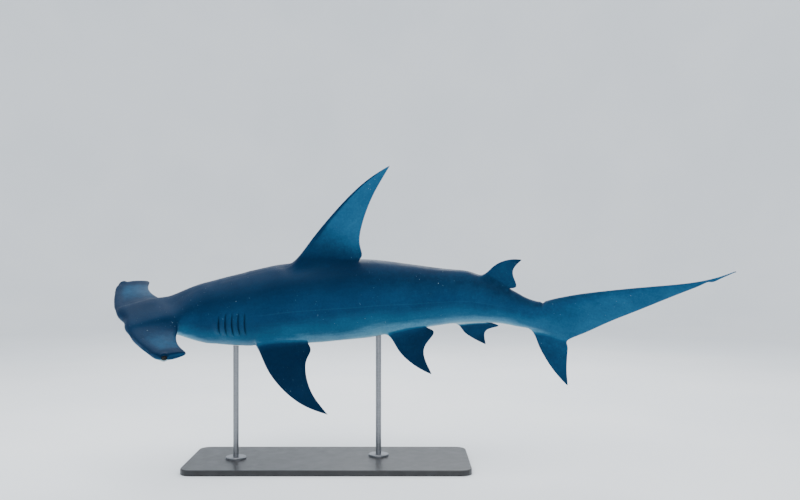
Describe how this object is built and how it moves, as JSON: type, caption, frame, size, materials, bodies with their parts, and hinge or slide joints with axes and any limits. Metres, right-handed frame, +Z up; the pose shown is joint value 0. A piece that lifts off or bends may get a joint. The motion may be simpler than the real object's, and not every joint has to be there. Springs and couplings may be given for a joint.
{
  "type": "great hammerhead shark",
  "caption": "Life-size still model of a great hammerhead shark in a gentle banked turn, held over a flat display base by upright rods.",
  "frame": {"origin": "centre of the flat underside of the stand's base", "axes": "+X towards the tail, +Y towards the side away from the viewer in the picture (the shark's right), +Z up"},
  "size_m": [3.1787, 1.128, 1.5838],
  "materials": {
    "head_skin": "dark slate skin over a pale underside, faint sheen",
    "body_skin": "dark slate back shading to a pale belly, faint sheen",
    "fin_skin": "dark slate skin with dusky edges",
    "paired_fin_skin": "dark slate above, pale below with dusky tips",
    "eye": "wet, glossy, dark with a darker pupil",
    "stand_base": "black satin lacquer",
    "stand_rod": "brushed steel"
  },
  "bodies": {
    "root": {"head": "head_skin", "gill_region": "body_skin", "torso_front": "body_skin", "torso_rear": "body_skin", "tail_stalk": "body_skin", "caudal_fin_upper_lobe": "fin_skin", "caudal_fin_lower_lobe": "fin_skin", "first_dorsal_fin": "fin_skin", "second_dorsal_fin": "fin_skin", "anal_fin": "fin_skin", "pectoral_fin_left": "paired_fin_skin", "pectoral_fin_right": "paired_fin_skin", "pelvic_fin_left": "paired_fin_skin", "pelvic_fin_right": "paired_fin_skin", "eye_left": "eye", "eye_right": "eye", "stand_base": "stand_base", "stand_rod_front": "stand_rod", "stand_rod_rear": "stand_rod"}
  },
  "joints": []
}
